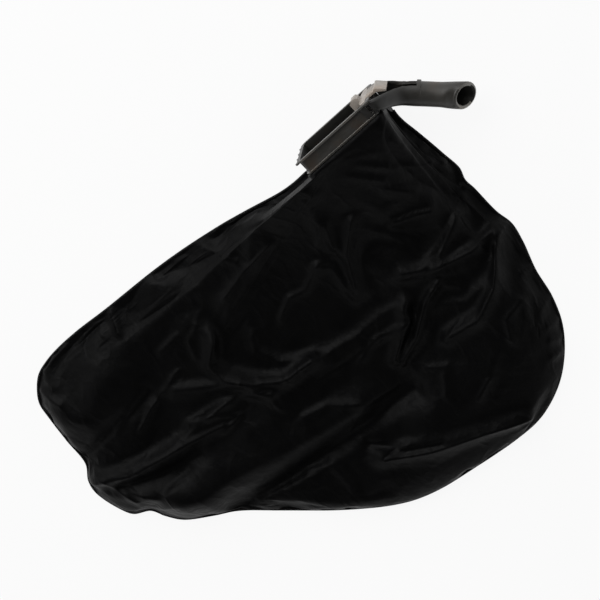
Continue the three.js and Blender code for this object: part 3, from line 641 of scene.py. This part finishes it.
def soften(name, node, body, materials, width, kind=None):
    """A finer copy of a moulded node: coplanar faces joined, edges rounded, curved faces shaded smooth.

    The materials are the main one, that of the rounded edges, which carries painted highlights, and any
    others that kind picks from.
    """
    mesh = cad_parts[node].data.copy()
    mesh.name = name
    build = bmesh.new()
    build.from_mesh(mesh)
    bmesh.ops.remove_doubles(build, verts=build.verts, dist=2e-6)
    bmesh.ops.dissolve_limit(build, angle_limit=math.radians(JOIN_ANGLE), verts=build.verts,
                             edges=build.edges)
    sharp = [e for e in build.edges if e.is_manifold and e.calc_face_angle() > math.radians(ROUND_ANGLE)]
    rounded = bmesh.ops.bevel(build, geom=sharp, offset=width, offset_type="OFFSET", segments=2,
                              profile=0.5, affect="EDGES", clamp_overlap=True)["faces"]
    for face in build.faces:
        face.material_index = 0
    for face in rounded:
        face.material_index = 1
    bmesh.ops.triangulate(build, faces=[f for f in build.faces if len(f.verts) > 4])
    build.to_mesh(mesh)
    build.free()
    marks = [face.material_index for face in mesh.polygons]
    piece = make_object(name, mesh, materials[0], body)
    mesh.set_sharp_from_angle(angle=math.radians(SHADE_ANGLE))
    for material in materials[1:]:
        mesh.materials.append(material)
    if kind is not None:
        marks = [mark or kind(face.center, face.normal) for mark, face in zip(marks, mesh.polygons)]
    mesh.polygons.foreach_set("material_index", marks)
    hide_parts(node)


def frame_face(center, normal):
    """Which material a face of the mouth frame has: 2 looks into the mouth and is painted shade, 3 is on its
    front lip and is a painted highlight.
    """
    x, y, z = (np.array(center) - ORIGIN) * 1000
    up = z - FRAME_MID
    within = abs(x) < HALF_LENGTH + 0.8 and abs(up) < HALF_WIDTH + 0.8
    if within and y < -1.2 and (normal.x * x < 0 or normal.z * up < 0):
        return 2
    outward = normal.x * x > 20 or normal.z * up > 15
    return 3 if y > LIP_BACK and outward and not within else 0


def handle_face(center, normal):
    """2, painted shade, for a face of the handle that looks into its bore or its channel; 1, a painted
    highlight, for its end ring.
    """
    place = (np.array(center) - ORIGIN) * 1000
    if np.dot(place - HANDLE_AXIS[-1], HANDLE_END) > -END_RING and np.dot(np.array(normal), HANDLE_END) > 0.4:
        return 1
    within = WINDOW_X[0] < place[0] < WINDOW_X[1] + 0.1 and WINDOW_Y[0] - 0.3 < place[1] < WINDOW_Y[1]
    if within and abs(place[2] - FRAME_MID) > HALF_WIDTH and abs(normal.z) < 0.4:
        return 2
    axis = HANDLE_AXIS[np.linalg.norm(HANDLE_AXIS - place, axis=1).argmin()]
    toward = axis - place
    return 2 if np.linalg.norm(toward) < HANDLE_BORE and np.dot(toward, np.array(normal)) > 2 else 0


# Camera: the photograph's angle
CAM_RIGHT = Vector((0.72155, -0.68826, -0.07528))
CAM_UP = Vector((0.63221, 0.69929, -0.33363))
CAM_BACK = Vector((0.28227, 0.19314, 0.93969))
CAM_AIM = Vector(to_world((-223.586, -162.357, 0)))


def make_camera():
    data = bpy.data.cameras.new("camera")
    data.sensor_width = 36
    data.lens = data.sensor_width * CAM_FAR / CAM_SPAN
    data.clip_end = 50
    camera = bpy.data.objects.new("camera", data)
    bpy.context.scene.collection.objects.link(camera)
    turn = Matrix((CAM_RIGHT, CAM_UP, CAM_BACK)).transposed()
    camera.matrix_world = Matrix.Translation(CAM_AIM + CAM_BACK * CAM_FAR) @ turn.to_4x4()
    bpy.context.scene.camera = camera


def make_stage():
    n = Nodes("pale_floor")
    n.set("Base Color", n.ramp(n.noise(3, 2), [(0.3, (0.88, 0.88, 0.88)), (0.7, (0.9, 0.9, 0.9))]))
    n.set("Roughness", 0.9)
    n.set("Specular IOR Level", 0.1)
    tree = n.tree
    seen = tree.nodes.new("ShaderNodeLightPath")
    glow = tree.nodes.new("ShaderNodeEmission")
    both = tree.nodes.new("ShaderNodeMixShader")
    share = n.math("ADD", seen.outputs["Is Camera Ray"], seen.outputs["Is Transmission Ray"])
    share = n.math("MINIMUM", n.math("ADD", share, seen.outputs["Is Glossy Ray"]), 1.0)
    share = n.math("MULTIPLY", share, FLOOR_GLOW)
    n.link(share, both.inputs[0])
    n.link(n.shader.outputs[0], both.inputs[1])
    n.link(glow.outputs[0], both.inputs[2])
    n.link(both.outputs[0], tree.nodes["Material Output"].inputs["Surface"])
    mesh = bpy.data.meshes.new("floor")
    corners = [(x * FLOOR_HALF, y * FLOOR_HALF, -FLOOR_DROP) for x, y in ((-1, -1), (1, -1), (1, 1), (-1, 1))]
    mesh.from_pydata(corners, [], [(0, 1, 2, 3)])
    floor = bpy.data.objects.new("floor", mesh)
    bpy.context.scene.collection.objects.link(floor)
    mesh.materials.append(n.material)


def area_lamp(name, place, aim, size, watts):
    data = bpy.data.lights.new(name, "AREA")
    data.shape = "DISK"
    data.size = size
    data.energy = watts
    lamp = bpy.data.objects.new(name, data)
    bpy.context.scene.collection.objects.link(lamp)
    lamp.location = place
    lamp.rotation_mode = "QUATERNION"
    lamp.rotation_quaternion = (Vector(aim) - Vector(place)).to_track_quat("-Z", "Y")


def make_lights():
    area_lamp("key", (0.3, 2.7, 1.9), (0, 0, 0), 3.0, 75)
    world = bpy.data.worlds.new("surroundings")
    bpy.context.scene.world = world
    world.use_nodes = True
    tree = world.node_tree
    ground = tree.nodes["Background"]
    place = tree.nodes.new("ShaderNodeTexCoord")
    split = tree.nodes.new("ShaderNodeSeparateXYZ")
    tree.links.new(place.outputs["Generated"], split.inputs[0])
    height = tree.nodes.new("ShaderNodeValToRGB")
    ramp = height.color_ramp
    ramp.elements.new(0.4)
    ramp.elements.new(0.6)
    for element, (at, level) in zip(ramp.elements, [(0.0, 0.9), (0.45, 0.6), (0.8, 0.16), (1.0, 0.05)]):
        element.position = at
        element.color = (level, level, level, 1)
    tree.links.new(split.outputs["Z"], height.inputs["Fac"])
    # Polished things see the white backdrop too, round the horizon
    backdrop = tree.nodes.new("ShaderNodeMapRange")
    for name, value in (("From Min", 0.2), ("From Max", 0.45), ("To Min", 1.0), ("To Max", 0.0)):
        backdrop.inputs[name].default_value = value
    tree.links.new(split.outputs["Z"], backdrop.inputs["Value"])
    seen = tree.nodes.new("ShaderNodeLightPath")
    mirrored = math_node(tree, "MULTIPLY", seen.outputs["Is Glossy Ray"], backdrop.outputs[0])
    share = math_node(tree, "ADD", seen.outputs["Is Camera Ray"], seen.outputs["Is Transmission Ray"])
    share = math_node(tree, "MINIMUM", math_node(tree, "ADD", share, mirrored), 1.0)
    both = tree.nodes.new("ShaderNodeMix")
    both.data_type = "RGBA"
    tree.links.new(share, both.inputs[0])
    tree.links.new(height.outputs["Color"], both.inputs[6])
    both.inputs[7].default_value = (1, 1, 1, 1)
    tree.links.new(both.outputs[2], ground.inputs["Color"])
    ground.inputs["Strength"].default_value = 1.0
    view = bpy.context.scene.view_settings
    view.view_transform = "Standard"


# The bag
def even_spans(count):
    t = np.linspace(0, 1, count)
    return mix(t, ease(t), SPAN_EASE)


def settle(grid, from_mouth):
    """How far cloth of this grid moves when it is let crumple: it is a little too large for its outline."""
    rows, size = grid.shape[:2]
    mesh = grid_mesh("cloth_trial", grid)
    trial = bpy.data.objects.new("cloth_trial", mesh)
    scene = bpy.context.scene
    scene.collection.objects.link(trial)
    hold = np.ones((rows, size))
    near = np.zeros((rows, size))
    near[:, :size - 2] = from_mouth
    hold[2:-2, 2:size - 2] = fade(near[2:-2, 2:size - 2], HOLD_REACH, 3)
    pins = trial.vertex_groups.new(name="held")
    for index, weight in enumerate(hold.ravel()):
        pins.add([index], float(weight), "REPLACE")
    cloth_run = trial.modifiers.new("cloth", "CLOTH")
    facts = cloth_run.settings
    facts.quality = 5
    facts.mass = 0.2
    facts.tension_stiffness = 15
    facts.compression_stiffness = 15
    facts.shear_stiffness = 8
    facts.bending_stiffness = SETTLE_STIFF
    facts.vertex_group_mass = "held"
    facts.shrink_min = -SETTLE_GROWTH
    facts.effector_weights.gravity = 0
    cloth_run.point_cache.frame_start = 1
    cloth_run.point_cache.frame_end = SETTLE_FRAMES
    for number in range(1, SETTLE_FRAMES + 1):
        scene.frame_set(number)
    done = trial.evaluated_get(bpy.context.evaluated_depsgraph_get()).to_mesh()
    after = np.empty(len(mesh.vertices) * 3)
    done.vertices.foreach_get("co", after)
    before = np.empty(len(mesh.vertices) * 3)
    mesh.vertices.foreach_get("co", before)
    moved = (after - before).reshape(rows, size, 3) * 1000
    trial.modifiers.clear()
    bpy.data.objects.remove(trial)
    scene.frame_set(1)
    long = np.linalg.norm(moved, axis=2, keepdims=True)
    moved *= np.minimum(1, SETTLE_CAP / np.maximum(long, 1e-6))
    near_line = side_distance(grid[..., 0], grid[..., 1], CALM_LINE)[0]
    return moved * (1 - CALM_SHARE * fade(near_line, CALM_REACH, 2))[..., None]


def twice(moved):
    """The same movement on a grid with twice the rows and columns, its last two columns left as they are."""
    fine = np.zeros((2 * moved.shape[0] - 1, moved.shape[1], 3))
    fine[::2] = moved
    fine[1::2] = (moved[:-1] + moved[1:]) / 2
    body = fine[:, :-2]
    wide = np.zeros((fine.shape[0], 2 * body.shape[1] - 1 + 2, 3))
    wide[:, :-2:2] = body
    wide[:, 1:-3:2] = (body[:, :-1] + body[:, 1:]) / 2
    return wide


def make_bag():
    spans = even_spans(TOP_SPANS)
    shape, from_mouth = panel_grid(1, TOP_ROWS, spans)
    coarse = panel_grid(1, TOP_ROWS // 2, spans[::2])[0]
    shape = shape + twice(settle(coarse, from_mouth[::2, ::2]))
    shape[..., 2] = np.maximum(shape[..., 2], TOP_LEAST)
    top = grid_mesh("bag_top", shape)
    face_outward(top)
    upper = make_object("bag_top", top, cloth)
    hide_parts("upper_panel")
    under = grid_mesh("bag_under", panel_grid(-1, UNDER_ROWS, even_spans(UNDER_SPANS))[0])
    face_outward(under, up=False)
    lower = make_object("bag_under", under, cloth)
    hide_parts("lower_panel")
    return upper, lower


def make_band():
    """Narrow binding rolled round the two panels' edges, a little wavy along its run."""
    rows = []
    section = [(0.5, 0.25), (0.0, 0.9), (0.0, 1.9), (0.5, 2.6), (1.6, 2.9), (2.7, 2.6), (3.3, 1.9),
               (3.3, 0.9), (2.7, 0.25), (1.6, 0.0)]
    rng = np.random.default_rng(7)
    wave = np.convolve(rng.normal(0, 1, BAND_STEPS + 9), np.ones(9) / 9, "valid")
    for i in range(BAND_STEPS + 1):
        share = i / BAND_STEPS
        base = float(seam_base(share))
        row = []
        for inward, up in section:
            x, y = seam_place(share, inward)
            row.append((x, y, base + up + BAND_WAVE * abs(wave[i]) * up / 2.9))
        rows.append(row)
    mesh = grid_mesh("bag_binding", np.array(rows), wraps=True)
    build = bmesh.new()
    build.from_mesh(mesh)
    bmesh.ops.holes_fill(build, edges=[e for e in build.edges if e.is_boundary], sides=20)
    bmesh.ops.recalc_face_normals(build, faces=build.faces)
    build.to_mesh(mesh)
    build.free()
    piece = make_object("bag_binding", mesh, band)
    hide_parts("edge_band")


def make_stitches():
    """Short thread stitches in a row along the binding, each a bent capsule half sunk into it."""
    count = int(SEAM_LENGTH / STITCH_PITCH)
    round_count, along = 6, np.array([-1.7, -1.3, 0.0, 1.3, 1.7])
    thick, lift = np.array([0.06, 0.28, 0.32, 0.28, 0.06]), np.array([-0.35, -0.05, 0.12, -0.05, -0.35])
    turn = np.arange(round_count) * 2 * math.pi / round_count
    points, faces = [], []
    for number in range(2, count - 1):
        run = number * SEAM_LENGTH / count
        x, y = seam_place((run + along) / SEAM_LENGTH, STITCH_INWARD)
        height = seam_base((run + along) / SEAM_LENGTH) + STITCH_RISE + lift
        dx, dy = x[-1] - x[0], y[-1] - y[0]
        long = math.hypot(dx, dy)
        start = len(points)
        for i in range(len(along)):
            for a in turn:
                out, up = thick[i] * math.cos(a), thick[i] * math.sin(a)
                points.append((x[i] - dy / long * out, y[i] + dx / long * out, height[i] + up))
        for i in range(len(along) - 1):
            for k in range(round_count):
                a, b = start + i * round_count, start + (i + 1) * round_count
                m = (k + 1) % round_count
                faces.append((a + k, b + k, b + m, a + m))
        faces.append(tuple(start + k for k in range(round_count)))
        faces.append(tuple(start + (len(along) - 1) * round_count + k for k in reversed(range(round_count))))
    mesh = bpy.data.meshes.new("bag_stitches")
    mesh.from_pydata(to_world(points).tolist(), [], faces)
    mesh.validate()
    build = bmesh.new()
    build.from_mesh(mesh)
    bmesh.ops.recalc_face_normals(build, faces=build.faces)
    build.to_mesh(mesh)
    build.free()
    make_object("bag_stitches", mesh, thread)


def handle_curve(count):
    """The handle's middle line, from its root in the frame to its open end, in millimetres."""
    points = np.array(HANDLE_POINTS, float)
    t = np.linspace(0, 1, count)[:, None]
    a, b, c, d = points
    return (1 - t) ** 3 * a + 3 * t * (1 - t) ** 2 * b + 3 * t ** 2 * (1 - t) * c + t ** 3 * d


make_camera()
make_stage()
make_lights()
HANDLE_AXIS = handle_curve(60)
HANDLE_END = (HANDLE_AXIS[-1] - HANDLE_AXIS[-2]) / np.linalg.norm(HANDLE_AXIS[-1] - HANDLE_AXIS[-2])
bag_top, bag_under = make_bag()
make_band()
make_stitches()
soften("mouth_frame_moulded", "mouth_frame", "root",
       [frame_plastic, edge_highlight_plastic, shaded_inside_plastic, lip_highlight_plastic], 0.00045, frame_face)
soften("clamp_ring_moulded", "clamp_ring", "root", [frame_plastic, frame_plastic], 0.0003)
soften("handle_moulded", "handle", "root",
       [handle_plastic, edge_highlight_plastic, shaded_inside_plastic], 0.0005, handle_face)
soften("latch_lever_moulded", "latch_lever", "latch", [latch_plastic, latch_edge_highlight_plastic], 0.0004)
soften("latch_pin_turned", "latch_pin", "root", [steel, steel], 0.00015)
